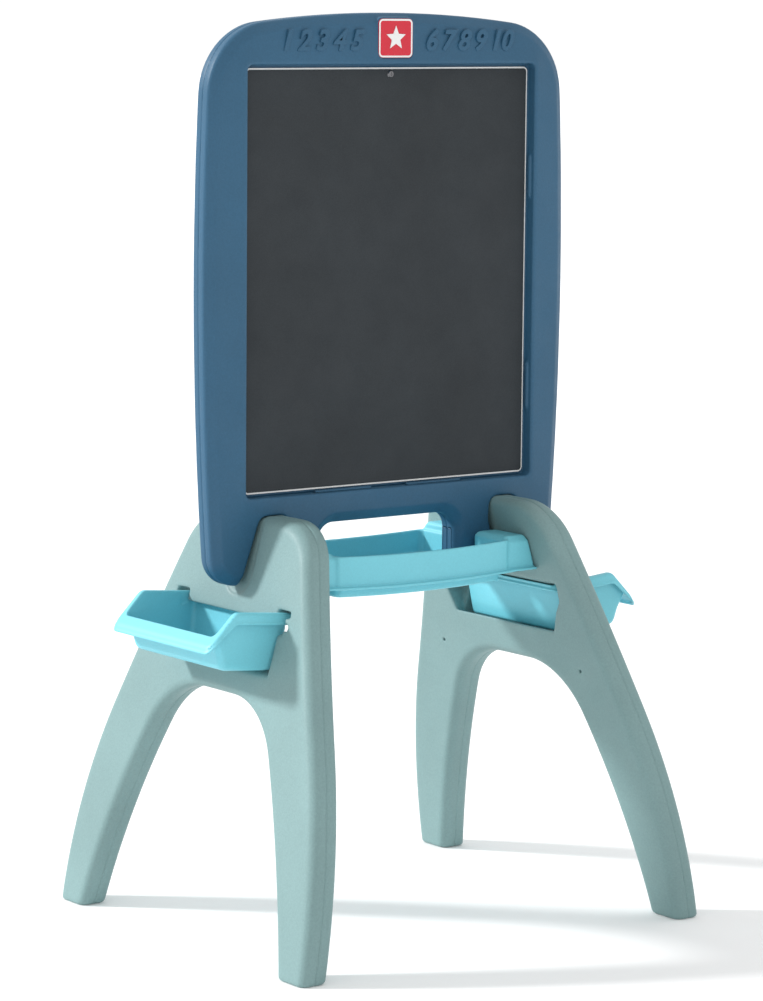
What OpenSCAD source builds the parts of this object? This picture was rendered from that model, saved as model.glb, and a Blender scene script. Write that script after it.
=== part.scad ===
// Double-sided kids easel on two arched leg frames, with three lift-out trays.
// X runs left to right, -Y is the front, +Z is up. The origin is on the floor
// under the middle of the easel. Everything is mirrored about X = 0 and Y = 0.

/* [Board] */
// Height of the top of the board above the floor
board_top = 1116; // [1108:1:1130]
// Half width of the board at its widest point
board_half_w = 273; // [270:1:276]
// Radius of the slightly arched top edge
top_arc_r = 1600; // [1400:50:2400]
// Radius of the slightly bowed side edges
side_arc_r = 4500; // [4000:100:7000]
// Radius of the top corners
top_corner_r = 90; // [70:1:100]
// Radius of the outer corners of the lower prongs
prong_corner_r = 38; // [30:1:42]
// Half thickness of the straight rim of the board
rim_half_t = 11; // [9:0.5:12]
// Half thickness of the board at the inner edge of the chamfer
edge_half_t = 18.5; // [17:0.5:19]
// Half thickness of the board at the lip round the panels
lip_half_t = 23; // [21:0.5:24]
// Width of the chamfer round the outline
chamfer_w = 12.5; // [10:0.5:14]

/* [Panels] */
// Half width of the writing panels
panel_half_w = 213; // [200:1:213]
// Height of the lower edge of the panels
panel_bottom = 540; // [538:1:560]
// Height of the upper edge of the panels
panel_top = 1050; // [1030:1:1051]
// Thickness of the backing board of each panel
backing_t = 2.4; // [2:0.1:3]
// Thickness of the writing sheet on each panel
sheet_t = 0.6; // [0.4:0.1:0.8]
// Width of the backing border left bare round the chalkboard sheet
border_w = 2; // [1:0.5:4]

/* [Leg frames] */
// Distance from the middle plane to the middle of a foot, along X
foot_x = 285.5; // [280:0.5:290]
// Distance from the middle plane to the outer end of a foot, along Y
foot_y = 267; // [262:1:272]
// Thickness of the leg frames
leg_t = 39; // [37:0.5:40]
// Height of the top of the leg frames
leg_top = 513; // [511:0.5:514]
// Lean of the leg frames towards each other at the floor
leg_lean = 8.8; // [8.6:0.05:9]
// Height of the underside of the arch between the feet
arch_z = 302; // [296:1:304]

/* [Trays] */
// Height of the rim of the side trays where it leaves the leg frame
side_rim_z = 409; // [408:0.5:410]
// Half length of the side trays over the rim
side_half_len = 108; // [106:0.5:109]
// Distance from the middle plane to the outer edge of a side tray
side_outer_x = 328; // [326:1:332]
// Height of the front wall of the centre tray
centre_rim_z = 469; // [466:1:471]
// Height of the back wall of the centre tray
centre_back_z = 461; // [458:1:471]
// Wall thickness of the trays
tray_wall = 3; // [2.5:0.5:3.5]

/* [Hidden] */

blue = [0.25, 0.40, 0.50];
sage = [0.58, 0.72, 0.70];
aqua = [0.52, 0.84, 0.88];
charcoal = [0.22, 0.22, 0.24];
white = [0.92, 0.93, 0.92];
red = [0.80, 0.12, 0.22];
steel = [0.62, 0.63, 0.65];

gap = 1;
leg_gap = 0.6;
eps = 0.01;

// Board outline
side_mid_z = 790;
prong_end_z = 430;
top_centre = [0, board_top - top_arc_r];
side_centre = [board_half_w - side_arc_r, side_mid_z];

// Recess that holds a panel on each face
panel_y = lip_half_t - 11.5;
recess_floor_y = panel_y - backing_t - sheet_t;
recess_margin = 4;
recess_r = 7;
panel_r = 6;

// Snap tabs that hold the panels down
tab_out = 2.6;
tab_t = 5;
side_tab_z = [[620, 680], [886, 940]];
lower_tab_x = [27, 111];

// Arched window between the prongs
window_top = 497;
window_half_w = 103;
window_r = 22;

// Slots that take the tops of the leg frames
slot_top = 513.5;
slot_inner_x = 154;
slot_bend_z = 483;
slot_lean = 17.5;
slot_outer_x = 199;
slot_outer_z = 503;
slot_r = 13;

// Badge seat on the top rail
badge_w = 51;
badge_h = 47;
badge_r = 6;
badge_t = 1.6;
badge_z = board_top - 30.5;
pad_margin = 2;
pad_y = 20.6;

// Panel screws
screw_z = panel_top - 8;
screw_head_r = 4.6;
screw_shank_r = 1.7;
screw_len = 7;

// Leg frame side profile
outer_arc_r = 690;
outer_lean = 22.3;
apex_r = 70;
arch_r = 106;
arch_flat = 30;
arch_turn = 26.6;
inner_arc_r = 1096;
foot_r = 7;

// Curve of a leg frame in the front view
bow_r = 4300;
bow_z = -bow_r * sin(leg_lean);
bow_x = foot_x - bow_r * cos(leg_lean);
// X of the leg frame at height z, at the distance d outside its middle surface
function leg_x(z, d) = bow_x + sqrt(pow(bow_r + d, 2) - pow(z - bow_z, 2));

// Channel for the outer prong in the outer face of a leg frame
channel_depth = 2.5;
channel_half_w = 26;
channel_end_z = 419;
top_chamfer = 11;

// Side tray; its rim and its floor rise a little on the way out
tray_inner_x = 193;
rim_rise = 0.092;
rim_w = 11;
rim_t = 3;
skirt_h = 14;
rim_bend_x = 287;
rim_end_z = 375.5;
ledge_w = 13;
inner_wall_x = tray_inner_x + ledge_w;
wall_half_len = side_half_len - 8;
floor_half_len = side_half_len - 11.5;
function rim_z(x) = side_rim_z + rim_rise * (x - 212);

// Tunnel for the side tray, square to the leg frame
tunnel_lean = 19.3;
tunnel_x = 210;
tunnel_z = 373.4;
tunnel_half_h = 27.2;
tunnel_half_w = 110;
cheek_half_w = 102.8;
cheek_from = 8;
ear_half_w = 121;
ear_h = 3;
ear_drop = 18;
roof_gap = 0.6;

// Centre tray
centre_half_len = 131;
deck_z = 471;
deck_half_w = 80;
centre_wall_y = 88;
centre_bow = 6;
flange_z = 431;
flange_t = 3;
flange_out = 6;
centre_floor_z = 417;
peg_z = 446;
peg_r = 6;
peg_len = 8;
peg_y = 50;

function arc(c, r, a0, a1, n) =
    [for (i = [0:n]) let (a = a0 + (a1 - a0) * i / n) [c[0] + r * cos(a), c[1] + r * sin(a)]];

// Point where two circles cross, on the side of larger Z
function cross_point(c1, r1, c2, r2) =
    let (
        v = c2 - c1,
        d = norm(v),
        a = (r1 * r1 - r2 * r2 + d * d) / (2 * d),
        h = sqrt(r1 * r1 - a * a),
        m = c1 + v * a / d
    )
    [m[0] - v[1] * h / d, m[1] + v[0] * h / d][1] > [m[0] + v[1] * h / d, m[1] - v[0] * h / d][1]
        ? [m[0] - v[1] * h / d, m[1] + v[0] * h / d]
        : [m[0] + v[1] * h / d, m[1] - v[0] * h / d];

function angle_of(v) = atan2(v[1], v[0]);
function mirrored(pts) = concat(pts, [for (i = [len(pts) - 1:-1:0]) [-pts[i][0], pts[i][1]]]);

// Outline of the board, moved inwards by d: top arc, corner, bowed side, prong corner
function board_outline(d) =
    let (
        corner = cross_point(top_centre, top_arc_r - top_corner_r, side_centre, side_arc_r - top_corner_r),
        prong_z = prong_end_z + prong_corner_r,
        prong_x = side_centre[0]
            + sqrt(pow(side_arc_r - prong_corner_r, 2) - pow(prong_z - side_mid_z, 2)),
        top_a = angle_of(corner - top_centre),
        side_a = angle_of(corner - side_centre),
        prong_a = angle_of([prong_x, prong_z] - side_centre)
    )
    mirrored(concat(
        arc(top_centre, top_arc_r - d, 90, top_a, 6),
        arc(corner, top_corner_r - d, top_a, side_a, 9),
        arc(side_centre, side_arc_r - d, side_a, prong_a, 12),
        arc([prong_x, prong_z], prong_corner_r - d, prong_a, -90, 6)
    ));

module rounded(x0, x1, z0, z1, r) {
    polygon(concat(
        arc([x1 - r, z1 - r], r, 90, 0, 6),
        arc([x1 - r, z0 + r], r, 0, -90, 6),
        arc([x0 + r, z0 + r], r, -90, -180, 6),
        arc([x0 + r, z1 - r], r, 180, 90, 6)
    ));
}

// Extrudes an X-Z drawing along Y, from y0 to y1
module along_y(y0, y1) {
    translate([0, y1, 0]) rotate([90, 0, 0]) linear_extrude(y1 - y0) children();
}

// Extrudes a Y-Z drawing along X, from x0 to x1
module along_x(x0, x1) {
    translate([x0, 0, 0]) rotate([90, 0, 90]) linear_extrude(x1 - x0) children();
}

// ---- Board ----

module board_slab() {
    hull() {
        along_y(-rim_half_t, rim_half_t) polygon(board_outline(0));
        along_y(-edge_half_t, edge_half_t) polygon(board_outline(chamfer_w));
        along_y(-lip_half_t, lip_half_t)
            rounded(-panel_half_w - 9, panel_half_w + 9, panel_bottom - 8, panel_top + 8, recess_r);
    }
}

module window_shape(d) {
    polygon(concat(
        arc([window_half_w - window_r, window_top - window_r], window_r + d, 0, 90, 8),
        arc([-window_half_w + window_r, window_top - window_r], window_r + d, 90, 180, 8),
        [[-window_half_w - d, prong_end_z - 20], [window_half_w + d, prong_end_z - 20]]
    ));
}

// Slot for the top of one leg frame; both of its long edges lean outwards
module slot_shape() {
    drop = slot_bend_z - prong_end_z + 20;
    outer_drop = slot_outer_z - prong_end_z + 20;
    polygon(concat(
        arc([slot_inner_x + slot_r, slot_top - slot_r], slot_r, 180, 90, 6),
        arc([slot_outer_x - slot_r, slot_top - slot_r], slot_r, 90, slot_lean, 6),
        [[slot_outer_x + outer_drop * tan(slot_lean), prong_end_z - 20]],
        [[slot_inner_x + drop * tan(slot_lean), prong_end_z - 20], [slot_inner_x, slot_bend_z]]
    ));
}

module recess() {
    along_y(-lip_half_t - 5, -recess_floor_y)
        rounded(
            -panel_half_w - recess_margin, panel_half_w + recess_margin,
            panel_bottom - recess_margin, panel_top + recess_margin, recess_r
        );
}

// Snap tabs along the walls of the front recess
module tabs() {
    wall_x = panel_half_w + recess_margin;
    wall_z = panel_bottom - recess_margin;
    for (side = [0, 1]) mirror([side, 0, 0])
        along_y(-panel_y - gap / 2 - tab_t, -panel_y - gap / 2) {
            for (z = side_tab_z) rounded(wall_x - tab_out, wall_x + 2, z[0], z[1], 1.5);
            rounded(lower_tab_x[0], lower_tab_x[1], wall_z - 2, wall_z + tab_out + 2, 1.5);
        }
}

module badge_pad() {
    along_y(-pad_y, -eps)
        rounded(
            -badge_w / 2 - pad_margin, badge_w / 2 + pad_margin,
            badge_z - badge_h / 2 - pad_margin, badge_z + badge_h / 2 + pad_margin,
            badge_r + pad_margin
        );
}

module badge_seat() {
    along_y(-lip_half_t - 5, -pad_y + 0.6)
        rounded(
            -badge_w / 2 - 0.5, badge_w / 2 + 0.5,
            badge_z - badge_h / 2 - 0.5, badge_z + badge_h / 2 + 0.5, badge_r + 0.5
        );
}

module pilot_hole() {
    translate([0, -recess_floor_y - eps, screw_z])
        rotate([-90, 0, 0]) cylinder(h = screw_len, r = screw_shank_r + 0.1, $fn = 32);
}

module board_frame() {
    color(blue)
        difference() {
            union() {
                difference() {
                    board_slab();
                    for (side = [0, 180]) rotate([0, 0, side]) recess();
                }
                for (side = [0, 180]) rotate([0, 0, side]) {
                    tabs();
                    badge_pad();
                }
            }
            for (side = [0, 180]) rotate([0, 0, side]) {
                badge_seat();
                pilot_hole();
                hull() {
                    along_y(-rim_half_t, -rim_half_t + eps) window_shape(0);
                    along_y(-lip_half_t - 5, -lip_half_t - 4) window_shape(chamfer_w * 1.6);
                }
            }
            along_y(-40, 40) window_shape(0);
            for (side = [0, 1]) mirror([side, 0, 0]) along_y(-40, 40) slot_shape();
        }
}

module backing() {
    difference() {
        along_y(-recess_floor_y - backing_t, -recess_floor_y)
            rounded(-panel_half_w, panel_half_w, panel_bottom, panel_top, panel_r);
        translate([0, -panel_y - 1, screw_z])
            rotate([-90, 0, 0]) cylinder(h = 10, r = screw_shank_r + 0.2, $fn = 32);
    }
}

module sheet(margin) {
    difference() {
        along_y(-recess_floor_y - backing_t - sheet_t, -recess_floor_y - backing_t)
            rounded(
                -panel_half_w + margin, panel_half_w - margin,
                panel_bottom + margin, panel_top - margin, panel_r - margin
            );
        translate([0, -panel_y - 1, screw_z])
            rotate([-90, 0, 0]) cylinder(h = 10, r = screw_shank_r + 0.2, $fn = 32);
    }
}

// Pan-head screw with a cross recess, held in the web between the panels
module panel_screw() {
    translate([0, -panel_y, screw_z]) rotate([90, 0, 0])
        difference() {
            union() {
                cylinder(h = 1.6, r1 = screw_head_r, r2 = screw_head_r - 1.1, $fn = 48);
                translate([0, 0, -screw_len - 2])
                    cylinder(h = screw_len + 2 + eps, r = screw_shank_r, $fn = 32);
            }
            for (a = [0, 90]) rotate([0, 0, a]) translate([-2.4, -0.5, 0.8]) cube([4.8, 1, 2]);
        }
}

module badge() {
    along_y(-pad_y + 0.6 - badge_t, -pad_y + 0.6)
        rounded(-badge_w / 2, badge_w / 2, badge_z - badge_h / 2, badge_z + badge_h / 2, badge_r);
}

// Raised plain star on the badge
module badge_emblem() {
    along_y(-pad_y + 0.6 - badge_t - 0.8, -pad_y + 0.6 - badge_t)
        translate([0, badge_z])
            polygon([for (i = [0:9]) let (r = i % 2 == 0 ? 15 : 6.6) [r * sin(36 * i), r * cos(36 * i)]]);
}

module front_backing() { color(white) backing(); }
module chalkboard_sheet() { color(charcoal) sheet(border_w); }
module back_backing() { color(white) rotate([0, 0, 180]) backing(); }
module dry_erase_sheet() { color(white) rotate([0, 0, 180]) sheet(0.4); }
module front_panel_screw() { color(steel) panel_screw(); }
module back_panel_screw() { color(steel) rotate([0, 0, 180]) panel_screw(); }
module front_badge() { color(red) badge(); }
module front_badge_emblem() { color(white) badge_emblem(); }
module back_badge() { color(red) rotate([0, 0, 180]) badge(); }
module back_badge_emblem() { color(white) rotate([0, 0, 180]) badge_emblem(); }

// ---- Leg frames ----

// Outer edge of a leg frame in the side view, from the foot up to the top
function leg_outer() =
    let (
        c = [foot_y - outer_arc_r, 0],
        n = [cos(outer_lean), sin(outer_lean)],
        reach = n * (c + outer_arc_r * n),
        apex_z = leg_top - apex_r,
        apex_y = (reach - apex_r - n[1] * apex_z) / n[0]
    )
    concat(
        arc([foot_y - foot_r, foot_r], foot_r, -90, 0, 4),
        [for (i = [1:14]) let (a = outer_lean * i / 14) c + outer_arc_r * [cos(a), sin(a)]],
        arc([apex_y, apex_z], apex_r, outer_lean, 90, 8)
    );

// Inner edge of a leg frame in the side view, from the crown of the arch down to the foot
function leg_inner() =
    let (
        c = [arch_flat, arch_z - arch_r],
        p = c + arch_r * [cos(arch_turn), sin(arch_turn)],
        c2 = p - inner_arc_r * [cos(arch_turn), sin(arch_turn)],
        drop = p[1] - foot_r,
        end_a = asin(sin(arch_turn) - drop / inner_arc_r),
        foot = c2 + inner_arc_r * [cos(end_a), sin(end_a)]
    )
    concat(
        arc(c, arch_r, 90, arch_turn, 12),
        [for (i = [1:8]) let (a = arch_turn + (end_a - arch_turn) * i / 8)
            c2 + inner_arc_r * [cos(a), sin(a)]],
        arc([foot[0] + foot_r, foot_r], foot_r, 180, 270, 4)
    );

module leg_profile() {
    outer = leg_outer();
    inner = leg_inner();
    polygon(concat(
        outer,
        [for (i = [len(outer) - 1:-1:0]) [-outer[i][0], outer[i][1]]],
        [for (i = [len(inner) - 1:-1:0]) [-inner[i][0], inner[i][1]]],
        inner
    ));
}

// Front-view band of a leg frame, between two arcs of one centre
module leg_band(d0, d1) {
    z_to = leg_top + 20;
    n = 20;
    polygon(concat(
        [for (i = [0:n]) let (z = -20 + (z_to + 20) * i / n) [leg_x(z, d1), z]],
        [for (i = [n:-1:0]) let (z = -20 + (z_to + 20) * i / n) [leg_x(z, d0), z]]
    ));
}

// Opening of the tunnel for the side tray, seen along the tunnel, through two points of its side
module tunnel_shape(waist, shelf) {
    half_low = floor_half_len + 3;
    polygon(mirrored([
        [0, -tunnel_half_h], [half_low - 5, -tunnel_half_h], [half_low, -tunnel_half_h + 5],
        waist, shelf, [ear_half_w, tunnel_half_h - 6], [ear_half_w - 6, tunnel_half_h], [0, tunnel_half_h]
    ]));
}

// The tunnel closes in beside the tray towards the outer face of the leg frame
module tray_tunnel() {
    translate([tunnel_x, 0, tunnel_z]) rotate([0, tunnel_lean, 0]) {
        along_x(-80, cheek_from) tunnel_shape([tunnel_half_w, -6], [ear_half_w, 8]);
        along_x(0, 80) tunnel_shape([cheek_half_w, 15], [ear_half_w, 17]);
    }
    // Ears for the two ends of the rim, which rise with the rim on the way out
    for (side = [-1, 1])
        translate([212, 0, side_rim_z]) rotate([0, -atan(rim_rise), 0])
            along_x(-40, 40)
                polygon([
                    [side * (side_half_len - rim_w - 1), -ear_drop], [side * (ear_half_w - 3), -ear_drop],
                    [side * ear_half_w, -ear_drop + 4], [side * ear_half_w, 0],
                    [side * (ear_half_w - ear_h), ear_h], [side * (side_half_len - rim_w - 1), ear_h]
                ]);
}

// Wedges that chamfer the top of a leg frame on both sides
module top_chamfers() {
    z0 = leg_top - top_chamfer;
    for (d = [-1, 1])
        along_y(-foot_y, foot_y)
            polygon([
                [leg_x(z0, d * leg_t / 2) + d * 0.01, z0],
                [leg_x(leg_top, d * leg_t / 2) - d * top_chamfer, leg_top + 1],
                [leg_x(leg_top, d * leg_t / 2) + d * 20, leg_top + 1],
                [leg_x(z0, d * leg_t / 2) + d * 20, z0]
            ]);
}

module leg_frame() {
    difference() {
        intersection() {
            along_x(foot_x - 180, foot_x + 60) leg_profile();
            along_y(-foot_y - 5, foot_y + 5) leg_band(-leg_t / 2, leg_t / 2);
        }
        tray_tunnel();
        // Channel for the outer prong of the board
        intersection() {
            along_y(-channel_half_w, channel_half_w) leg_band(leg_t / 2 - channel_depth, leg_t / 2 + 30);
            translate([foot_x - 180, 0, channel_end_z + channel_half_w]) rotate([90, 0, 90]) {
                linear_extrude(240) union() {
                    circle(r = channel_half_w, $fn = 64);
                    translate([-channel_half_w, 0]) square([2 * channel_half_w, leg_top]);
                }
            }
        }
        top_chamfers();
    }
    // Pegs that carry the centre tray
    for (y = [-peg_y, peg_y])
        translate([leg_x(peg_z, -leg_t / 2) - peg_len, y, peg_z]) rotate([0, 90, 0])
            cylinder(h = peg_len + 4, r = peg_r, $fn = 48);
}

module left_leg_frame() { color(sage) mirror([1, 0, 0]) leg_frame(); }
module right_leg_frame() { color(sage) leg_frame(); }

// ---- Centre tray ----

// Plan of the tray between the walls, bowed outwards along its length, grown by d
module centre_plan(half_len, d) {
    n = 12;
    function y_at(x) = centre_wall_y + d + centre_bow * (1 - pow(x / 170, 2));
    polygon(concat(
        [for (i = [0:n]) let (x = -half_len + 2 * half_len * i / n) [x, -y_at(x)]],
        [for (i = [n:-1:0]) let (x = -half_len + 2 * half_len * i / n) [x, y_at(x)]]
    ));
}

// Space between the inner faces of the two leg frames, with clearance
module between_legs() {
    along_y(-130, 130)
        polygon(concat(
            [for (z = [400:10:490]) [leg_x(z, -leg_t / 2) - leg_gap, z]],
            [for (z = [490:-10:400]) [-leg_x(z, -leg_t / 2) + leg_gap, z]]
        ));
}

// Space below the tops of the front and back walls
module wall_heights() {
    along_x(-190, 190)
        polygon([
            [-120, flange_z - 1], [120, flange_z - 1], [120, centre_back_z],
            [0, centre_back_z], [0, centre_rim_z], [-120, centre_rim_z]
        ]);
}

module deck_end() {
    along_x(centre_half_len, 190)
        polygon([
            [-centre_wall_y - 1, flange_z], [centre_wall_y + 1, flange_z],
            [deck_half_w + 6, deck_z - 8], [deck_half_w, deck_z],
            [-deck_half_w, deck_z], [-deck_half_w - 6, deck_z - 8]
        ]);
}

module centre_tray() {
    color(aqua)
        difference() {
            union() {
                intersection() {
                    between_legs();
                    union() {
                        intersection() {
                            translate([0, 0, flange_z])
                                linear_extrude(60) centre_plan(centre_half_len + 20, 0);
                            wall_heights();
                        }
                        translate([0, 0, flange_z - flange_t]) linear_extrude(flange_t + eps)
                            centre_plan(190, flange_out);
                        for (side = [0, 1]) mirror([side, 0, 0]) deck_end();
                    }
                }
                translate([0, 0, centre_floor_z]) linear_extrude(flange_z - centre_floor_z)
                    centre_plan(centre_half_len - 4, -8);
            }
            // Compartment
            translate([0, 0, centre_floor_z + tray_wall]) linear_extrude(80)
                centre_plan(centre_half_len - tray_wall - 4, -tray_wall - 8);
            translate([0, 0, flange_z]) linear_extrude(80)
                centre_plan(centre_half_len - tray_wall, -tray_wall);
            // Hollow underside of the two ends
            for (side = [0, 1]) mirror([side, 0, 0])
                along_x(centre_half_len + tray_wall, leg_x(deck_z, -leg_t / 2) - tray_wall - 10)
                    polygon([
                        [-centre_wall_y + tray_wall, flange_z - flange_t - 1],
                        [centre_wall_y - tray_wall, flange_z - flange_t - 1],
                        [deck_half_w + 3, deck_z - 9], [-deck_half_w - 3, deck_z - 9]
                    ]);
            // Slots for the inner prongs of the board
            for (side = [0, 1]) mirror([side, 0, 0])
                translate([window_half_w - gap, -lip_half_t - gap, prong_end_z - gap])
                    cube([
                        slot_inner_x + (slot_bend_z - prong_end_z) * tan(slot_lean) - window_half_w + 2 * gap,
                        2 * (lip_half_t + gap), 80
                    ]);
            // Notches that sit on the pegs of the leg frames, open below
            for (side = [0, 1], y = [-peg_y, peg_y]) mirror([side, 0, 0])
                translate([leg_x(peg_z, -leg_t / 2) - peg_len - gap, y, 0])
                    along_x(0, 40) {
                        translate([0, peg_z]) circle(r = peg_r + 0.3, $fn = 48);
                        translate([-peg_r - 0.3, 400]) square([2 * peg_r + 0.6, peg_z - 400]);
                    }
        }
}

// ---- Side trays ----

function rim_top() = [
    [tray_inner_x, rim_z(tray_inner_x)], [rim_bend_x, rim_z(rim_bend_x)],
    [side_outer_x - 2, rim_end_z + 1.5], [side_outer_x, rim_end_z - 1]
];
function rim_low() = [
    [side_outer_x, rim_end_z - 7], [side_outer_x - 10, rim_end_z - 4.5],
    [side_outer_x - 18, rim_end_z + 1], [rim_bend_x - 11, rim_z(rim_bend_x) - skirt_h],
    [tray_inner_x + 19, rim_z(tray_inner_x + 19) - skirt_h], [tray_inner_x, rim_z(tray_inner_x) - 8.5]
];
// Underside of the flange of the rim
function flange_low() = [
    [side_outer_x, rim_end_z - 1 - rim_t], [side_outer_x - 3.5, rim_end_z + 0.5 - rim_t],
    [rim_bend_x - 1, rim_z(rim_bend_x) - rim_t], [tray_inner_x, rim_z(tray_inner_x) - rim_t]
];

// Slice between two heights above the roof of the tunnel, following its slope
module under_roof(half_len, x0, x1, d0, d1) {
    function roof(x) = tunnel_z + tunnel_half_h / cos(tunnel_lean) - (x - tunnel_x) * tan(tunnel_lean);
    along_y(-half_len, half_len)
        polygon([[x0, roof(x0) + d0], [x1, roof(x1) + d0], [x1, roof(x1) + d1], [x0, roof(x0) + d1]]);
}

// Space under the flange of the rim
module under_rim() {
    along_y(-side_half_len - 10, side_half_len + 10)
        polygon(concat(flange_low(), [[tray_inner_x, 300], [side_outer_x, 300]]));
}

module tray_plan(d, r) {
    rounded(tray_inner_x + d, side_outer_x - d, -side_half_len + d, side_half_len - d, r);
}

// Body of the tray, its walls moved outwards by d
module tray_body(d) {
    intersection() {
        along_y(-side_half_len, side_half_len)
            polygon([
                [inner_wall_x + 1.5 - d, side_rim_z + 20], [inner_wall_x + 3.5 - d, 390],
                [inner_wall_x + 10.5 - d, 344.5 - d], [tray_inner_x + 37 - d / 2, 339.2 - d],
                [side_outer_x - 34 + d / 2, 345 - d], [side_outer_x - 28 + d, 347.5 - d],
                [side_outer_x - 25 + d, 352], [side_outer_x - 21 + d, 367],
                [side_outer_x - 12 + d, 386], [side_outer_x - 12 + d, side_rim_z + 20]
            ]);
        along_x(tray_inner_x - 5, side_outer_x + 5)
            polygon(mirrored([
                [0, 330 - d], [floor_half_len - 6 + d / 2, 330 - d], [floor_half_len - 2 + d, 342],
                [wall_half_len + d, side_rim_z - 10], [wall_half_len + d, side_rim_z + 20],
                [0, side_rim_z + 20]
            ]));
    }
}

module side_tray() {
    difference() {
        union() {
            intersection() {
                tray_body(0);
                under_rim();
            }
            // Flange and skirt of the rim
            intersection() {
                along_y(-side_half_len, side_half_len) polygon(concat(rim_top(), flange_low()));
                translate([0, 0, 300]) linear_extrude(150) tray_plan(0, 12);
            }
            intersection() {
                along_y(-side_half_len, side_half_len) polygon(concat(rim_top(), rim_low()));
                translate([0, 0, 300]) linear_extrude(150)
                    difference() {
                        tray_plan(0, 12);
                        tray_plan(tray_wall, 9);
                    }
            }
            // Ledge from the wall beside the leg frame back to the inner edge of the rim
            under_roof(
                side_half_len - rim_w, tray_inner_x + 0.5, inner_wall_x + 4.5, -roof_gap - rim_t, -roof_gap
            );
        }
        intersection() {
            tray_body(-tray_wall);
            translate([0, 0, 300]) linear_extrude(150)
                rounded(
                    inner_wall_x + 5.5, side_outer_x - rim_w,
                    -side_half_len + rim_w, side_half_len - rim_w, 6
                );
        }
        under_roof(side_half_len - rim_w - 0.5, tray_inner_x - 1, tray_inner_x + 40, -roof_gap, 30);
    }
}

module left_side_tray() { color(aqua) mirror([1, 0, 0]) side_tray(); }
module right_side_tray() { color(aqua) side_tray(); }

board_frame();
front_backing();
chalkboard_sheet();
back_backing();
dry_erase_sheet();
front_panel_screw();
back_panel_screw();
front_badge();
front_badge_emblem();
back_badge();
back_badge_emblem();
left_leg_frame();
right_leg_frame();
centre_tray();
left_side_tray();
right_side_tray();
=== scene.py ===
import math

import bpy
import numpy as np
from mathutils import Matrix, Vector


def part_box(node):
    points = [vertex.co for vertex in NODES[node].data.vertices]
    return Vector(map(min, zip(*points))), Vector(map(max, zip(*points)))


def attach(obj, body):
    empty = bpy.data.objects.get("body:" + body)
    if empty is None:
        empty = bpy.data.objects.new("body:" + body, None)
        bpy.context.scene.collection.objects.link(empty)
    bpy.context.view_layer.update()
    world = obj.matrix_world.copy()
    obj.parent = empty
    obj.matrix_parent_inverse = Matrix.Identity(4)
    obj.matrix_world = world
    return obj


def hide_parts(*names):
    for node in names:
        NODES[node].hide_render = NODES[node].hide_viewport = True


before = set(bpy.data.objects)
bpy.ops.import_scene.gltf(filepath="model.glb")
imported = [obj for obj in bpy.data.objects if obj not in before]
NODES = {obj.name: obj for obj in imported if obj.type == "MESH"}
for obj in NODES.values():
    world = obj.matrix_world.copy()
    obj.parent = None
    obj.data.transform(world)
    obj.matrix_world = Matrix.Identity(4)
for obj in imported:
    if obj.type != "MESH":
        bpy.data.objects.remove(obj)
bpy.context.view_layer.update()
MM = 0.001


def mm_box(node):
    """Lowest and highest corner of a CAD node, in millimetres."""
    low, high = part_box(node)
    return [v / MM for v in low], [v / MM for v in high]


# ---- Meshes from fields -------------------------------------------------
# A field gives about the distance from a shape's surface, in millimetres, negative inside.

def lines(start, *spans):
    """Grid lines from start, through spans of (end, spacing)."""
    values = [start]
    for end, step in spans:
        low = values[-1]
        count = max(1, round(abs(end - low) / step))
        values += [low + (end - low) * (i + 1) / count for i in range(count)]
    return np.array(values)


def both_ways(start, *spans):
    """Grid lines on both sides of zero."""
    half = lines(start, *spans)
    return np.concatenate([-half[:0:-1], half])


def round_max(a, b, r):
    """Shape inside both a and b, its edge rounded with radius r."""
    return np.minimum(np.maximum(a, b), -r) + np.hypot(np.maximum(a + r, 0), np.maximum(b + r, 0))


def round_min(a, b, r):
    """Shape inside a or b, with a fillet of radius r between them."""
    return -round_max(-a, -b, r)


def cut(a, b, r):
    """Shape inside a and outside b, its edge rounded with radius r."""
    return round_max(a, -b, r)


def outline_distance(points, a, b):
    """Distance in a plane to a closed outline."""
    a, b = np.broadcast_arrays(a, b)
    best = np.full(a.shape, 1e12)
    sign = np.ones(a.shape)
    points = np.asarray(points, float)
    for p, q in zip(points, np.roll(points, 1, axis=0)):
        e = q - p
        wa, wb = a - p[0], b - p[1]
        t = np.clip((wa * e[0] + wb * e[1]) / (e @ e), 0, 1)
        best = np.minimum(best, (wa - e[0] * t) ** 2 + (wb - e[1] * t) ** 2)
        low, high, left = b >= p[1], b < q[1], e[0] * wb > e[1] * wa
        sign = np.where((low & high & left) | ~(low | high | left), -sign, sign)
    return sign * np.sqrt(best)


def inset(points, d):
    """Convex outline, counter-clockwise, moved inwards by d."""
    points = np.asarray(points, float)
    out = []
    for p0, p1, p2 in zip(np.roll(points, 1, axis=0), points, np.roll(points, -1, axis=0)):
        e0 = (p1 - p0) / np.linalg.norm(p1 - p0)
        e1 = (p2 - p1) / np.linalg.norm(p2 - p1)
        n0, n1 = np.array([-e0[1], e0[0]]), np.array([-e1[1], e1[0]])
        out.append(p1 + (n0 + n1) * d / (1 + n0 @ n1))
    return out


def soft_outline(points, r, a, b):
    """Distance to a convex, counter-clockwise outline whose corners have radius r."""
    return outline_distance(inset(points, r), a, b) - r


def box_distance(a, b, low, high, r):
    """Distance to an upright rectangle whose corners have radius r."""
    da = np.abs(a - (low[0] + high[0]) / 2) - (high[0] - low[0]) / 2 + r
    db = np.abs(b - (low[1] + high[1]) / 2) - (high[1] - low[1]) / 2 + r
    return np.minimum(np.maximum(da, db), 0) + np.hypot(np.maximum(da, 0), np.maximum(db, 0)) - r


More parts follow.
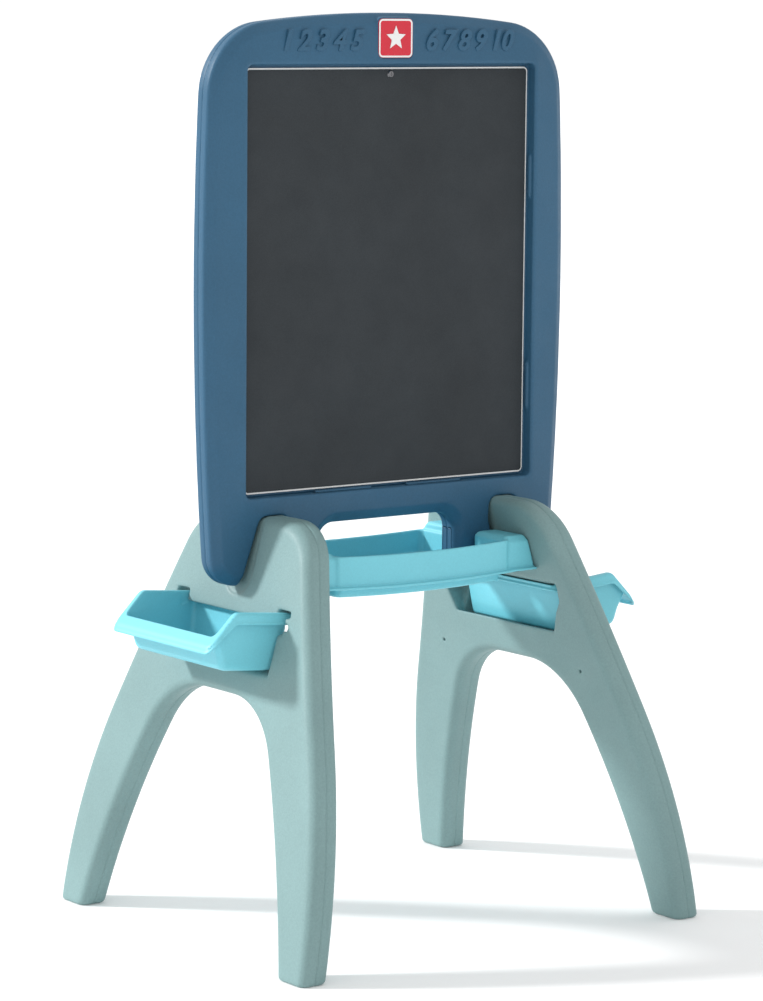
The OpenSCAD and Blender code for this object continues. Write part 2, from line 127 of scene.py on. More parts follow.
def arc(centre, r, a0, a1, n):
    """Points on an arc, angles in degrees."""
    return [(centre[0] + r * math.cos(math.radians(a0 + (a1 - a0) * i / n)),
             centre[1] + r * math.sin(math.radians(a0 + (a1 - a0) * i / n))) for i in range(n + 1)]


def surface(field, axes):
    """Vertices and quads of the surface where field is zero, one vertex in each grid cell it crosses."""
    grid = np.ix_(*axes)
    f = np.broadcast_to(field(*grid), [len(a) for a in axes])
    inside = f < 0
    step = np.array([(len(axes[1]) - 1) * (len(axes[2]) - 1), len(axes[2]) - 1, 1])
    cells, places, quads = [], [], []
    for a in range(3):
        u, v = (a + 1) % 3, (a + 2) % 3
        near, far = [slice(None)] * 3, [slice(None)] * 3
        near[a], far[a] = slice(0, -1), slice(1, None)
        index = np.argwhere(inside[tuple(near)] != inside[tuple(far)])
        f0 = f[tuple(near)][tuple(index.T)]
        f1 = f[tuple(far)][tuple(index.T)]
        place = np.stack([axes[d][index[:, d]] for d in range(3)], 1)
        place[:, a] += f0 / (f0 - f1) * (axes[a][index[:, a] + 1] - axes[a][index[:, a]])
        cell = index @ step
        corners = np.stack([cell, cell - step[u], cell - step[u] - step[v], cell - step[v]], 1)
        corners[f0 > 0] = corners[f0 > 0][:, ::-1]
        quads.append(corners)
        cells.append(corners.ravel())
        places.append(np.repeat(place, 4, axis=0))
    cells, places, quads = np.concatenate(cells), np.concatenate(places), np.concatenate(quads)
    where = np.unique(cells, return_inverse=True)[1]
    count = np.bincount(where)
    points = np.stack([np.bincount(where, weights=places[:, d]) / count for d in range(3)], 1)
    return points, where.reshape(-1, 4)


def mesh_piece(name, points, quads, material):
    """A smooth mesh object from points in millimetres."""
    mesh = bpy.data.meshes.new(name)
    mesh.vertices.add(len(points))
    mesh.vertices.foreach_set("co", (points * MM).astype(np.float32).ravel())
    mesh.loops.add(len(quads) * 4)
    mesh.loops.foreach_set("vertex_index", quads.astype(np.int32).ravel())
    mesh.polygons.add(len(quads))
    mesh.polygons.foreach_set("loop_start", np.arange(0, len(quads) * 4, 4, dtype=np.int32))
    mesh.polygons.foreach_set("loop_total", np.full(len(quads), 4, dtype=np.int32))
    mesh.update(calc_edges=True)
    mesh.validate()
    mesh.shade_smooth()
    mesh.materials.append(material)
    obj = bpy.data.objects.new(name, mesh)
    bpy.context.scene.collection.objects.link(obj)
    return obj


def flipped(points, quads):
    """The same surface mirrored about X = 0."""
    return points * [-1, 1, 1], quads[:, ::-1]


# ---- Materials ----------------------------------------------------------

def moulded(name, colour, roughness, bump_mm, specular=0.4, mottle=0.06, grain=420):
    """Moulded plastic: fine pebbled grain, faint flow mottling and slightly uneven gloss."""
    mat = bpy.data.materials.new(name)
    mat.use_nodes = True
    tree = mat.node_tree
    new, link = tree.nodes.new, tree.links.new
    shader = tree.nodes["Principled BSDF"]
    shader.inputs["Specular IOR Level"].default_value = specular
    place = new("ShaderNodeTexCoord").outputs["Object"]

    def noise(scale, detail, rough):
        node = new("ShaderNodeTexNoise")
        node.inputs["Scale"].default_value = scale
        node.inputs["Detail"].default_value = detail
        node.inputs["Roughness"].default_value = rough
        link(place, node.inputs["Vector"])
        return node.outputs["Fac"]

    def spread(value, low, high):
        node = new("ShaderNodeMapRange")
        node.inputs["From Min"].default_value = 0.3
        node.inputs["From Max"].default_value = 0.7
        node.inputs["To Min"].default_value = low
        node.inputs["To Max"].default_value = high
        link(value, node.inputs["Value"])
        return node.outputs["Result"]

    def scaled(source, factor):
        node = new("ShaderNodeVectorMath")
        node.operation = "SCALE"
        if isinstance(source, tuple):
            node.inputs[0].default_value = source
        else:
            link(source, node.inputs[0])
        link(factor, node.inputs["Scale"])
        return node.outputs["Vector"]

    clouds = noise(7, 3, 0.5)
    pebbles = noise(grain, 2, 0.6)
    tint = scaled(scaled(colour, spread(clouds, 1 - mottle, 1 + mottle)),
                  spread(pebbles, 1 - mottle, 1 + mottle))
    link(tint, shader.inputs["Base Color"])
    link(spread(noise(30, 4, 0.6), roughness - 0.06, roughness + 0.06), shader.inputs["Roughness"])
    bump = new("ShaderNodeBump")
    bump.inputs["Strength"].default_value = 0.5
    bump.inputs["Distance"].default_value = bump_mm * MM
    link(pebbles, bump.inputs["Height"])
    link(bump.outputs["Normal"], shader.inputs["Normal"])
    return mat


BLUE = moulded("blue_plastic", (0.028, 0.104, 0.186), 0.50, 0.35, 0.35)
SAGE = moulded("sage_plastic", (0.200, 0.318, 0.320), 0.52, 0.45, 0.35)
AQUA = moulded("aqua_plastic", (0.183, 0.590, 0.690), 0.42, 0.15, 0.40, mottle=0.03)
BACKING = moulded("panel_backing", (0.80, 0.81, 0.80), 0.55, 0.05, mottle=0.02)
CHALKBOARD = moulded(
    "chalkboard_skin", (0.029, 0.035, 0.040), 0.72, 0.12, 0.30, mottle=0.12, grain=900)
DRY_ERASE = moulded("dry_erase_skin", (0.58, 0.59, 0.60), 0.12, 0.01, 0.5, mottle=0.01)
BADGE_RED = moulded("badge_red", (0.62, 0.012, 0.035), 0.25, 0.02, 0.5, mottle=0.02)
BADGE_WHITE = moulded("badge_white", (0.82, 0.82, 0.82), 0.25, 0.02, 0.5, mottle=0.02)
SCREW = moulded("screw_steel", (0.20, 0.20, 0.21), 0.35, 0.03, 0.5, mottle=0.10, grain=1500)
SCREW.node_tree.nodes["Principled BSDF"].inputs["Metallic"].default_value = 1.0

for node, material in (
    ("front_backing", BACKING), ("back_backing", BACKING), ("chalkboard_sheet", CHALKBOARD),
    ("dry_erase_sheet", DRY_ERASE), ("front_panel_screw", SCREW), ("back_panel_screw", SCREW),
    ("front_badge", BADGE_RED), ("back_badge", BADGE_RED),
    ("front_badge_emblem", BADGE_WHITE), ("back_badge_emblem", BADGE_WHITE),
):
    NODES[node].data.materials.clear()
    NODES[node].data.materials.append(material)


# ---- Board --------------------------------------------------------------

BOARD_LOW, BOARD_HIGH = mm_box("board_frame")
PANEL_LOW, PANEL_HIGH = mm_box("front_backing")
BADGE_LOW, BADGE_HIGH = mm_box("front_badge")
BOARD_TOP, PRONG_END, HALF_W, LIP = BOARD_HIGH[2], BOARD_LOW[2], BOARD_HIGH[0], BOARD_HIGH[1]
TOP_ARC_R, SIDE_ARC_R, SIDE_MID_Z = 1600, 4500, 790
TOP_CORNER_R, PRONG_CORNER_R = 90, 38
RIM, SHOULDER, CHAMFER = 11, 18.5, 12.5
SLOT_TOP, SLOT_R, SLOT_INNER_X, SLOT_BEND_Z, SLOT_LEAN = 513.5, 13, 154, 483, 17.5
SLOT_OUTER_X, SLOT_OUTER_Z = 199, 503
WINDOW_TOP, WINDOW_HALF_W, WINDOW_R = 497, 103, 22
RECESS_MARGIN, RECESS_R, RECESS_Y = 4, 7, 8.5
FADE_MARGIN = 8
TAB_SPANS = ((620, 680), (886, 940))
TAB_OUT, TAB_Y, TAB_HALF_T, LOW_TAB_X, LOW_TAB_HALF_W = 2.6, 14.5, 2.5, 69, 42
WEB_EDGE = 22
PAD_Y, SEAT_Y, PAD_MARGIN, PAD_R, BADGE_R = 20.6, 20.0, 2, 8, 6
SEAM_HALF_W = 1.3


def crossing(c1, r1, c2, r2):
    """Higher point where two circles cross."""
    v = np.subtract(c2, c1)
    d = np.linalg.norm(v)
    a = (r1 * r1 - r2 * r2 + d * d) / (2 * d)
    h = math.sqrt(r1 * r1 - a * a)
    middle = np.add(c1, v * a / d)
    side = np.array([-v[1], v[0]]) * h / d
    return max(middle + side, middle - side, key=lambda p: p[1])


def heading(v):
    return math.degrees(math.atan2(v[1], v[0]))


def board_outline():
    """Arched top, round corners, bowed sides and round prong corners."""
    top = np.array([0, BOARD_TOP - TOP_ARC_R])
    side = np.array([HALF_W - SIDE_ARC_R, SIDE_MID_Z])
    corner = crossing(top, TOP_ARC_R - TOP_CORNER_R, side, SIDE_ARC_R - TOP_CORNER_R)
    prong_z = PRONG_END + PRONG_CORNER_R
    prong_r = SIDE_ARC_R - PRONG_CORNER_R
    prong = np.array([side[0] + math.sqrt(prong_r ** 2 - (prong_z - SIDE_MID_Z) ** 2), prong_z])
    top_a, side_a, prong_a = heading(corner - top), heading(corner - side), heading(prong - side)
    half = (arc(top, TOP_ARC_R, 90, top_a, 10)[:-1] + arc(corner, TOP_CORNER_R, top_a, side_a, 16)[:-1]
            + arc(side, SIDE_ARC_R, side_a, prong_a, 14)[:-1] + arc(prong, PRONG_CORNER_R, prong_a, -90, 12))
    return half[1:] + [(-x, z) for x, z in reversed(half[1:])] + [half[0]]


def slot_outline():
    """Slot that takes the top of a leg frame."""
    lean = math.tan(math.radians(SLOT_LEAN))
    end = PRONG_END - 30
    return (arc((SLOT_INNER_X + SLOT_R, SLOT_TOP - SLOT_R), SLOT_R, 180, 90, 8)
            + arc((SLOT_OUTER_X - SLOT_R, SLOT_TOP - SLOT_R), SLOT_R, 90, SLOT_LEAN, 8)
            + [(SLOT_OUTER_X + (SLOT_OUTER_Z - end) * lean, end),
               (SLOT_INNER_X + (SLOT_BEND_Z - end) * lean, end), (SLOT_INNER_X, SLOT_BEND_Z)])


def board_half_thickness(x, z):
    """Half thickness of the board face at x and z, before the recess."""
    inside = np.maximum(-outline_distance(board_outline(), x, z), 0)
    to_lip = np.maximum(box_distance(
        x, z, (PANEL_LOW[0] - FADE_MARGIN - 1, PANEL_LOW[2] - FADE_MARGIN),
        (PANEL_HIGH[0] + FADE_MARGIN + 1, PANEL_HIGH[2] + FADE_MARGIN), RECESS_R), 0)
    past = np.maximum(inside - CHAMFER, 0)
    return np.minimum(RIM + (SHOULDER - RIM) * inside / CHAMFER, SHOULDER) \
        + (LIP - SHOULDER) * past / np.maximum(past + to_lip, 0.1)


def tab_field(x, y, z):
    """Snap tabs along the walls of both recesses."""
    wall_x, wall_z = PANEL_HIGH[0] + RECESS_MARGIN, PANEL_LOW[2] - RECESS_MARGIN
    across = np.abs(np.abs(y) - TAB_Y) - TAB_HALF_T
    tabs = [round_max(np.abs(z - wall_z) - TAB_OUT, np.abs(np.abs(x) - LOW_TAB_X) - LOW_TAB_HALF_W, 1.2)]
    for z0, z1 in TAB_SPANS:
        along = np.abs(z - (z0 + z1) / 2) - (z1 - z0) / 2
        tabs.append(round_max(np.abs(np.abs(x) - wall_x) - TAB_OUT, along, 1.2))
    upper = np.minimum(round_max(tabs[1], across, 1.2), round_max(tabs[2], across, 1.2))
    return np.minimum(upper, round_max(tabs[0], across, 1.2))


def board_field(x, y, z):
    outline = outline_distance(board_outline(), x, z)
    window = box_distance(x, z, (-WINDOW_HALF_W, PRONG_END - 60), (WINDOW_HALF_W, WINDOW_TOP), WINDOW_R)
    half = np.minimum(board_half_thickness(x, z), RIM + 0.85 * np.maximum(window, 0))
    groove = np.maximum(0, 1 - np.abs(y) / SEAM_HALF_W)
    plan = round_max(outline + groove, groove - window, 6)
    f = round_max(plan, np.abs(y) - half, 3)
    f = cut(f, outline_distance(slot_outline(), np.abs(x), z), 2.5)
    low = (PANEL_LOW[0] - RECESS_MARGIN, PANEL_LOW[2] - RECESS_MARGIN)
    high = (PANEL_HIGH[0] + RECESS_MARGIN, PANEL_HIGH[2] + RECESS_MARGIN)
    recess = box_distance(x, z, low, high, RECESS_R)
    f = cut(f, round_max(recess, RECESS_Y - np.abs(y), 0.5), 2.8)
    # Nothing is left of the web behind the panels, which hide it
    f = np.maximum(f, -recess - WEB_EDGE)
    f = round_min(f, tab_field(x, y, z), 0.8)
    pad = box_distance(
        x, z, (BADGE_LOW[0] - PAD_MARGIN, BADGE_LOW[2] - PAD_MARGIN),
        (BADGE_HIGH[0] + PAD_MARGIN, BADGE_HIGH[2] + PAD_MARGIN), PAD_R)
    f = round_min(f, round_max(pad, np.abs(y) - PAD_Y, 0.8), 2)
    seat = box_distance(x, z, (BADGE_LOW[0], BADGE_LOW[2]), (BADGE_HIGH[0], BADGE_HIGH[2]), BADGE_R)
    return np.maximum(f, -np.maximum(seat - 0.5, SEAT_Y - np.abs(y)))


def make_board():
    wall_x = PANEL_HIGH[0] + RECESS_MARGIN
    wall_z0, wall_z1 = PANEL_LOW[2] - RECESS_MARGIN, PANEL_HIGH[2] + RECESS_MARGIN
    xs = both_ways(0, (22, 2.75), (30, 1.3), (96, 3), (110, 1.75), (150, 3.3), (204, 2.2),
                   (wall_x + 7, 1.3), (HALF_W + 4, 2.6))
    ys = both_ways(0, (1.4, 0.7), (8, 2.2), (LIP + 3, 1.25))
    zs = lines(PRONG_END - 5, (436, 1.6), (476, 2.6), (520, 2.0), (wall_z0 - 6, 2.4), (wall_z0 + 6, 1.2),
               (wall_z1 - 6, 3.4), (wall_z1 + 6, 1.3), (BOARD_TOP + 4, 2.2))
    piece = mesh_piece("board_moulding", *surface(board_field, (xs, ys, zs)), BLUE)
    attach(piece, "board")
    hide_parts("board_frame")


NUMERAL_H, NUMERAL_Z, CAP_HEIGHT = 24, 1071.5, 0.70
NUMERALS = [(str(i + 1), -171 + 25.5 * i) for i in range(5)]
NUMERALS += [(str(i + 6), 44 + 25 * i) for i in range(5)]


def make_numerals(face):
    """Raised italic numerals on the top rail; face is -1 for the front, 1 for the back."""
    for text, x in NUMERALS:
        curve = bpy.data.curves.new("numeral_" + text, "FONT")
        curve.body = text
        curve.size = NUMERAL_H * MM / CAP_HEIGHT
        curve.shear = 0.30
        curve.offset = 0.55 * MM
        curve.extrude = 1.9 * MM
        curve.bevel_depth = 0.7 * MM
        curve.bevel_resolution = 2
        obj = bpy.data.objects.new("%s_numeral_%s" % ("front" if face < 0 else "back", text), curve)
        bpy.context.scene.collection.objects.link(obj)
        y = float(board_half_thickness(np.array([x + 8.0]), np.array([NUMERAL_Z + NUMERAL_H / 2]))[0])
        turn = Matrix.Rotation(math.pi if face > 0 else 0, 4, "Z")
        place = Matrix.Translation(Vector((x, -y, NUMERAL_Z)) * MM)
        obj.matrix_world = turn @ place @ Matrix.Rotation(math.pi / 2, 4, "X")
        curve.materials.append(BLUE)
        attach(obj, "board")


def make_badge_border(face):
    """Thin white line round the edge of a badge."""
    y0, y1 = BADGE_LOW[1] - 0.25, BADGE_LOW[1] + 0.4
    centre = ((BADGE_LOW[0] + BADGE_HIGH[0]) / 2, (BADGE_LOW[2] + BADGE_HIGH[2]) / 2)
    half = ((BADGE_HIGH[0] - BADGE_LOW[0]) / 2, (BADGE_HIGH[2] - BADGE_LOW[2]) / 2)
    # Section of the line: distance in from the edge of the badge, and Y
    section = ((0.3, y1), (0.3, y0 + 0.15), (0.6, y0), (2.2, y0), (2.5, y0 + 0.15), (2.5, y1))
    points = []
    for d, y in section:
        w, h, r = half[0] - d, half[1] - d, BADGE_R - d
        corners = (((w - r, h - r), 0), ((r - w, h - r), 90), ((r - w, r - h), 180), ((w - r, r - h), 270))
        for corner, a in corners:
            points += [(centre[0] + px, y, centre[1] + pz) for px, pz in arc(corner, r, a, a + 90, 8)]
    points = np.array(points)
    rings, n = len(section), len(points) // len(section)
    quads = []
    for k in range(rings):
        this, after = k * n, (k + 1) % rings * n
        quads += [(this + i, this + (i + 1) % n, after + (i + 1) % n, after + i) for i in range(n)]
    quads = np.array(quads)
    if face > 0:
        points = points * [-1, -1, 1]
    piece = mesh_piece("front_badge_border" if face < 0 else "back_badge_border", points, quads, BADGE_WHITE)
    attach(piece, "board")


# ---- Leg frames ---------------------------------------------------------

LEG_HIGH = mm_box("right_leg_frame")[1]
FOOT_Y, LEG_TOP, LEG_T = LEG_HIGH[1], LEG_HIGH[2], 39
BOW_R, BOW_LEAN = 4300, math.radians(8.8)
BOW_X, BOW_Z = 285.5 - BOW_R * math.cos(BOW_LEAN), -BOW_R * math.sin(BOW_LEAN)
LEG_EDGE_R, FOOT_EDGE_R, LEG_SEAM = 12, 5, 1.1
TUNNEL_LEAN, TUNNEL_X, TUNNEL_Z, TUNNEL_HALF_H = math.radians(19.3), 210, 373.4, 27.2
CHEEK_FROM, EAR_HALF_W, SLIT_HALF_W = 8, 121, 112
CHANNEL_R, CHANNEL_END_Z, CHANNEL_DEPTH = 26, 419, 2.5
RIM_RISE, RIM_Z, RIM_W, SIDE_HALF_LEN = 0.092, 409, 11, 108
PEG_Y, PEG_Z, PEG_R, PEG_LEN = 50, 446, 6, 8
VENT_Y, VENT_Z, VENT_R = 140, 302, 2.2


def leg_x(z, d):
    """X at height z, at the distance d outside the middle surface of a leg frame."""
    return BOW_X + np.sqrt((BOW_R + d) ** 2 - (z - BOW_Z) ** 2)


def leg_outline():
    """Side view of a leg frame, run on below the floor, where the feet are cut off level."""
    outer_r, lean, apex_r = 690, math.radians(22.3), 70
    arch_z, arch_r, arch_flat, turn, inner_r = 302, 106, 30, 26.6, 1096
    c = np.array([FOOT_Y - outer_r, 0])
    n = np.array([math.cos(lean), math.sin(lean)])
    reach = n @ (c + outer_r * n)
    apex = ((reach - apex_r - n[1] * (LEG_TOP - apex_r)) / n[0], LEG_TOP - apex_r)
    outer = arc(c, outer_r, -3, 22.3, 20) + arc(apex, apex_r, 22.3, 90, 14)
    crown = (arch_flat, arch_z - arch_r)
    p = np.array(arc(crown, arch_r, turn, turn, 1)[0])
    t = math.radians(turn)
    c2 = p - inner_r * np.array([math.cos(t), math.sin(t)])
    end = math.degrees(math.asin((-30 - c2[1]) / inner_r))
    inner = arc(crown, arch_r, 90, turn, 16) + arc(c2, inner_r, turn, end, 14)[1:]
    return (outer + [(-y, z) for y, z in reversed(outer)] + [(-y, z) for y, z in reversed(inner)] + inner)


def tunnel_field(x, y, z):
    """Opening for a side tray, square to the leg frame, narrower at the outer face beside the tray,
    with ears for the ends of the tray's rim."""
    low, high = -TUNNEL_HALF_H, TUNNEL_HALF_H
    up = (x - TUNNEL_X) * math.sin(TUNNEL_LEAN) + (z - TUNNEL_Z) * math.cos(TUNNEL_LEAN)
    out = (x - TUNNEL_X) * math.cos(TUNNEL_LEAN) - (z - TUNNEL_Z) * math.sin(TUNNEL_LEAN)
    side = [(99.5, low), (110, -6), (EAR_HALF_W, 8), (EAR_HALF_W, high)]
    wide = soft_outline(side + [(-a, b) for a, b in reversed(side)], 4.5, y, up)
    cheek = [(99.5, low), (102.8, 15), (SLIT_HALF_W, 17), (SLIT_HALF_W, high)]
    narrow = outline_distance(cheek + [(-a, b) for a, b in reversed(cheek)], y, up)
    body = round_min(round_max(wide, out - CHEEK_FROM, 2), narrow, 1)
    rise = math.atan(RIM_RISE)
    above = (z - RIM_Z) * math.cos(rise) - (x - 212) * math.sin(rise)
    slit = box_distance(np.abs(y), above, (SIDE_HALF_LEN - RIM_W - 1, -18), (SLIT_HALF_W, 3), 3)
    ear = box_distance(np.abs(y), above, (SIDE_HALF_LEN - RIM_W - 1, -5), (EAR_HALF_W, 3), 3)
    return round_min(body, round_min(slit, ear, 1.5), 1.5)


def leg_field(s, y, z):
    """A leg frame laid flat: s is the distance outside its middle surface."""
    groove = LEG_SEAM * np.maximum(0, 1 - np.abs(s) / SEAM_HALF_W)
    f = round_max(outline_distance(leg_outline(), y, z) + groove, np.abs(s) - LEG_T / 2, LEG_EDGE_R)
    f = round_max(f, -z, FOOT_EDGE_R)
    x = leg_x(z, s)
    f = cut(f, tunnel_field(x, y, z), 3)
    channel = box_distance(
        y, z, (-CHANNEL_R, CHANNEL_END_Z), (CHANNEL_R, LEG_TOP + 120), CHANNEL_R - 0.1)
    f = cut(f, np.maximum(channel, LEG_T / 2 - CHANNEL_DEPTH - s), 1.5)
    hole = np.hypot(np.abs(y) - VENT_Y, z - VENT_Z) - VENT_R
    f = np.maximum(f, -np.maximum(hole, s + LEG_T / 2 - 6))
    peg = np.hypot(np.abs(y) - PEG_Y, z - PEG_Z) - PEG_R
    return round_min(f, round_max(peg, np.abs(s + LEG_T / 2) - PEG_LEN, 1), 1)


def make_legs():
    ss = np.concatenate([
        lines(-30, (-22, 2)), lines(-20.6, (-1.4, 1.92)), [-0.7, 0, 0.7],
        lines(1.4, (20.6, 1.92), (23, 2.4))])
    ys = both_ways(0, (VENT_Y - 5, 2.6), (VENT_Y + 5, 0.9), (FOOT_Y + 5, 2.6))
    zs = lines(-6, (12, 1.6), (VENT_Z - 5, 2.9), (VENT_Z + 5, 0.9), (LEG_TOP + 4, 2.1))
    points, quads = surface(leg_field, (ss, ys, zs))
    points[:, 0] = leg_x(points[:, 2], points[:, 0])
    for name, shape in (("right", (points, quads)), ("left", flipped(points, quads))):
        piece = mesh_piece(name + "_leg_moulding", *shape, SAGE)
        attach(piece, name + "_leg")
        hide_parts(name + "_leg_frame")


# ---- Side trays ---------------------------------------------------------

SIDE_LOW, SIDE_HIGH = mm_box("right_side_tray")
TRAY_X, TRAY_OUT, TRAY_FLOOR = SIDE_LOW[0], SIDE_HIGH[0], SIDE_LOW[2]
RIM_BEND_X, RIM_ORIGIN_X, RIM_STEP, RIM_LIP, LEDGE_W, TRAY_WALL = 287, 212, 1.4, 3.0, 13, 3


def soft_low(a, b, r):
    """The lower of two heights, blended over about r."""
    h = np.clip(0.5 + (b - a) / (2 * r), 0, 1)
    return b + (a - b) * h - r * h * (1 - h)


def side_rim_top(x):
    """Height of the top of the rim, level with a slight rise, then bent down."""
    level = RIM_Z + RIM_RISE * (x - RIM_ORIGIN_X)
    bend = RIM_Z + RIM_RISE * (RIM_BEND_X - RIM_ORIGIN_X)
    return soft_low(level, bend - (x - RIM_BEND_X), 5)


def side_tray_field(x, y, z):
    """Body, rim with a stepped skirt, and a ledge under the roof of the tunnel, then hollowed."""
    near, far = TRAY_X + LEDGE_W, TRAY_OUT
    xz = [(near + 1.5, 440), (near + 3.5, 390), (near + 10.5, 344.5), (230, 339.2), (far - 34, 345),
          (far - 28, 347.5), (far - 25, 352), (far - 21, 367), (far - 12, 386), (far - 12, 440)]
    yz = [(-100, 440), (-100, 399), (-94.5, 342), (-90.5, 325),
          (90.5, 325), (94.5, 342), (100, 399), (100, 440)]
    along = soft_outline(xz, 5, x, z)
    across = soft_outline(yz, 3, y, z)
    top = side_rim_top(x)
    above = (z - top) * 0.85
    plan = box_distance(x, y, (TRAY_X, -SIDE_HALF_LEN), (TRAY_OUT, SIDE_HALF_LEN), 12)
    outer = round_max(along, across, 8)
    body = round_max(outer, above + 1.5, 1)
    skirt = np.interp(x, (TRAY_X, TRAY_X + 19, RIM_BEND_X - 5, TRAY_OUT - 8), (8.5, 14, 14, 7))
    shoulder = round_max(plan + RIM_STEP, above, 4.5)
    lip = round_max(plan, z - top + skirt - RIM_LIP, 0.8)
    envelope = round_min(shoulder, lip, 0.5)
    hollow = round_max(plan + TRAY_WALL, above + 3, 2.2)
    rim = cut(envelope, hollow, 0.8)
    rim = round_max(rim, top - skirt - z, 0.8)
    flange = np.maximum(envelope, -above - 3)
    f = round_min(body, np.minimum(rim, flange), 2)
    roof = TUNNEL_Z + TUNNEL_HALF_H / math.cos(TUNNEL_LEAN) - 0.8 - (x - TUNNEL_X) * math.tan(TUNNEL_LEAN)
    ledge = box_distance(x, np.abs(y), (TRAY_X + 0.5, -9), (near + 4.5, SIDE_HALF_LEN - RIM_W), 1)
    f = round_min(f, round_max(ledge, np.abs(z - roof + 1.5) - 1.5, 1), 1)
    inner = round_max(along + TRAY_WALL, across + TRAY_WALL, 6)
    mouth = box_distance(
        x, y, (near + 5.5, -SIDE_HALF_LEN + RIM_W), (far - RIM_W, SIDE_HALF_LEN - RIM_W), 6)
    f = cut(f, round_max(inner, mouth, 1), 2.2)
    relief = np.maximum(np.abs(y) - SIDE_HALF_LEN + RIM_W - 0.5, x - TRAY_X - 40)
    return cut(f, np.maximum(relief, roof - z), 1.2)


def make_side_trays():
    xs = lines(TRAY_X - 3, (TRAY_X + 16, 1.2), (TRAY_OUT - 22, 1.9), (TRAY_OUT + 3, 1.2))
    ys = both_ways(0, (86, 2.6), (SIDE_HALF_LEN + 3, 1.2))
    zs = lines(TRAY_FLOOR - 3, (352, 1.2), (370, 1.7), (420, 1.2))
    points, quads = surface(side_tray_field, (xs, ys, zs))
    for name, shape in (("right", (points, quads)), ("left", flipped(points, quads))):
        piece = mesh_piece(name + "_tray_moulding", *shape, AQUA)
        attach(piece, name + "_tray")
        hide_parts(name + "_side_tray")


# ---- Centre tray --------------------------------------------------------

CENTRE_LOW, CENTRE_HIGH = mm_box("centre_tray")
CENTRE_FLOOR, DECK_Z = CENTRE_LOW[2], CENTRE_HIGH[2]
CENTRE_HALF_LEN, CENTRE_Y, CENTRE_BOW, FLANGE_Z = 131, 88, 6, 431
FRONT_RIM_Z, BACK_RIM_Z, DECK_HALF_W, CENTRE_WALL, CENTRE_SAG = 468, 461, 80, 4.6, 3.5
END_GAP = 0.6


def centre_tray_field(x, y, z):
    """Bowed and sagging trough between two end decks, on a flange, with a tub below."""
    wall = np.abs(y) - (CENTRE_Y + CENTRE_BOW * (1 - (x / 170) ** 2))
    z = z + CENTRE_SAG * np.maximum(0, 1 - (x / 140) ** 2)
    far = np.abs(x)
    rim = np.where(y < 0, FRONT_RIM_Z, BACK_RIM_Z)
    section = [(-CENTRE_Y - 1, FLANGE_Z - 12), (CENTRE_Y + 1, FLANGE_Z - 12), (CENTRE_Y + 0.5, FLANGE_Z),
               (DECK_HALF_W + 7, DECK_Z - 7), (DECK_HALF_W, DECK_Z), (-DECK_HALF_W, DECK_Z),
               (-DECK_HALF_W - 7, DECK_Z - 7), (-CENTRE_Y - 0.5, FLANGE_Z)]
    hump = soft_outline(section, 5, y, z)
    face = leg_x(z, -LEG_T / 2) - END_GAP
    deck = round_max(hump, np.maximum(CENTRE_HALF_LEN - far, far - face), 4.5)
    box = round_max(round_max(far - CENTRE_HALF_LEN - 3, wall, 8), z - rim, 2.2)
    top = round_max(round_min(box, deck, 3), FLANGE_Z - 1 - z, 0.5)
    flange = round_max(round_max(wall - 6, far - face, 3), np.abs(z - FLANGE_Z + 1.5) - 1.5, 1.2)
    depth = np.maximum(CENTRE_FLOOR - z, z - FLANGE_Z)
    tub = round_max(round_max(far - CENTRE_HALF_LEN + 4, wall + 8, 10), depth, 4)
    f = round_min(round_min(top, flange, 1.5), tub, 1)
    high = round_max(round_max(far - CENTRE_HALF_LEN + 3, wall + CENTRE_WALL, 8), FLANGE_Z + 1 - z, 3)
    low = round_max(round_max(far - CENTRE_HALF_LEN + 8, wall + 12, 8), CENTRE_FLOOR + 3 - z, 3)
    f = cut(f, np.minimum(high, np.maximum(low, z - FLANGE_Z - 6)), 2.2)
    under = np.maximum(hump + 4, np.maximum(CENTRE_HALF_LEN + 4 - far, far - face + 12))
    f = cut(f, under, 1)
    prong = box_distance(far, y, (102, -24), (172, 24), 2)
    f = cut(f, np.maximum(prong, FLANGE_Z - 2 - z), 1.6)
    beside, over = np.abs(y) - PEG_Y, z - PEG_Z
    notch = np.minimum(np.hypot(beside, over), np.maximum(np.abs(beside), over)) - PEG_R - 0.4
    return cut(f, np.maximum(notch, face - PEG_LEN - 1 - far), 0.6)


def make_centre_tray():
    xs = both_ways(0, (96, 3.2), (CENTRE_HIGH[0] + 3, 1.7))
    ys = both_ways(0, (20, 3), (28, 1.5), (66, 2.8), (CENTRE_HIGH[1] + 3, 1.25))
    zs = lines(CENTRE_FLOOR - 7, (436, 1.1), (452, 2), (DECK_Z + 3, 1.1))
    piece = mesh_piece("centre_tray_moulding", *surface(centre_tray_field, (xs, ys, zs)), AQUA)
    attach(piece, "board")
    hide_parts("centre_tray")


make_board()
for side in (-1, 1):
    make_numerals(side)
    make_badge_border(side)
make_legs()
make_side_trays()
make_centre_tray()


# ---- Floor, light and camera -------------------------------------------

FLOOR_HALF, FLOOR_GLOW = 40, 0.11
SUN_STRENGTH, SUN_ANGLE, SUN_HEADING = 3.0, math.radians(7), (0.67, -0.55, -0.50)
STUDIO_HEADING, STUDIO_DIM, STUDIO_BRIGHT = (0.59, 0.80, 0.0), 0.82, 1.02
CAMERA_AT, CAMERA_LENS = (-2.7267, -3.6951, 1.1383), 134.5
CAMERA_YAW, CAMERA_PITCH, CAMERA_ROLL = [math.radians(a) for a in (-36.43, 7.71, 0.51)]


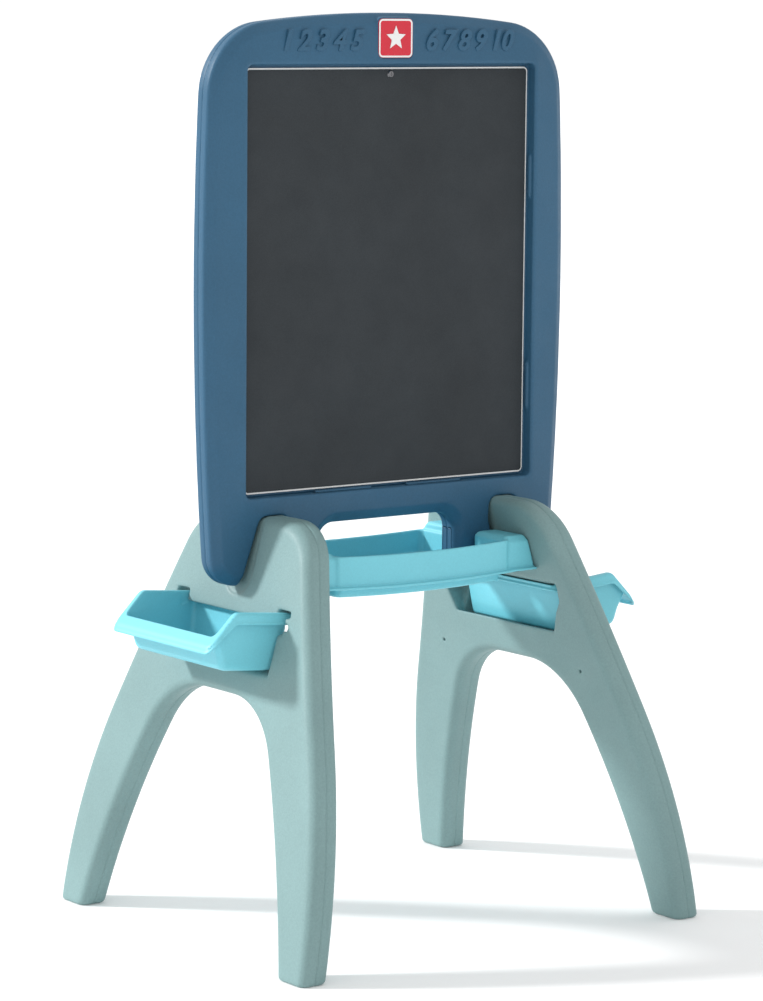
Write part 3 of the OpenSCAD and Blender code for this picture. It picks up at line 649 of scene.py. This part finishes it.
def make_floor():
    h = FLOOR_HALF
    mesh = bpy.data.meshes.new("floor")
    mesh.from_pydata([(-h, -h, 0), (h, -h, 0), (h, h, 0), (-h, h, 0)], [], [(0, 1, 2, 3)])
    floor = bpy.data.objects.new("floor", mesh)
    bpy.context.scene.collection.objects.link(floor)
    material = moulded("studio_floor", (0.86, 0.86, 0.86), 0.9, 0.01, 0.0, mottle=0.002)
    glow = material.node_tree.nodes["Principled BSDF"].inputs
    glow["Emission Color"].default_value = (1, 0.99, 0.99, 1)
    glow["Emission Strength"].default_value = FLOOR_GLOW
    mesh.materials.append(material)


def make_lights():
    """A soft sun, in a white studio that is brighter in the direction the camera looks."""
    sun = bpy.data.lights.new("key", "SUN")
    sun.energy = SUN_STRENGTH
    sun.angle = SUN_ANGLE
    key = bpy.data.objects.new("key", sun)
    key.rotation_euler = Vector(SUN_HEADING).to_track_quat("-Z", "Y").to_euler()
    bpy.context.scene.collection.objects.link(key)
    world = bpy.data.worlds.new("white_studio")
    world.use_nodes = True
    tree = world.node_tree
    back = tree.nodes["Background"]
    back.inputs["Color"].default_value = (1, 1, 1, 1)
    place = tree.nodes.new("ShaderNodeTexCoord")
    along = tree.nodes.new("ShaderNodeVectorMath")
    along.operation = "DOT_PRODUCT"
    along.inputs[1].default_value = STUDIO_HEADING
    fade = tree.nodes.new("ShaderNodeMapRange")
    fade.inputs["From Min"].default_value = -0.5
    fade.inputs["From Max"].default_value = 0.6
    fade.inputs["To Min"].default_value = STUDIO_DIM
    fade.inputs["To Max"].default_value = STUDIO_BRIGHT
    tree.links.new(place.outputs["Generated"], along.inputs[0])
    tree.links.new(along.outputs["Value"], fade.inputs["Value"])
    tree.links.new(fade.outputs["Result"], back.inputs["Strength"])
    bpy.context.scene.world = world
    bpy.context.scene.view_settings.view_transform = "Standard"


def make_camera():
    yaw, pitch, roll = CAMERA_YAW, CAMERA_PITCH, CAMERA_ROLL
    back = Vector((math.sin(yaw) * math.cos(pitch), -math.cos(yaw) * math.cos(pitch), math.sin(pitch)))
    right = (-back).cross(Vector((0, 0, 1))).normalized()
    up = right.cross(-back)
    right, up = (math.cos(roll) * right + math.sin(roll) * up, -math.sin(roll) * right + math.cos(roll) * up)
    data = bpy.data.cameras.new("camera")
    data.lens = CAMERA_LENS
    data.sensor_width = 36
    data.dof.use_dof = False
    data.clip_end = 200
    camera = bpy.data.objects.new("camera", data)
    place = Matrix((right, up, back)).transposed().to_4x4()
    place.translation = CAMERA_AT
    camera.matrix_world = place
    bpy.context.scene.collection.objects.link(camera)
    bpy.context.scene.camera = camera


make_floor()
make_lights()
make_camera()
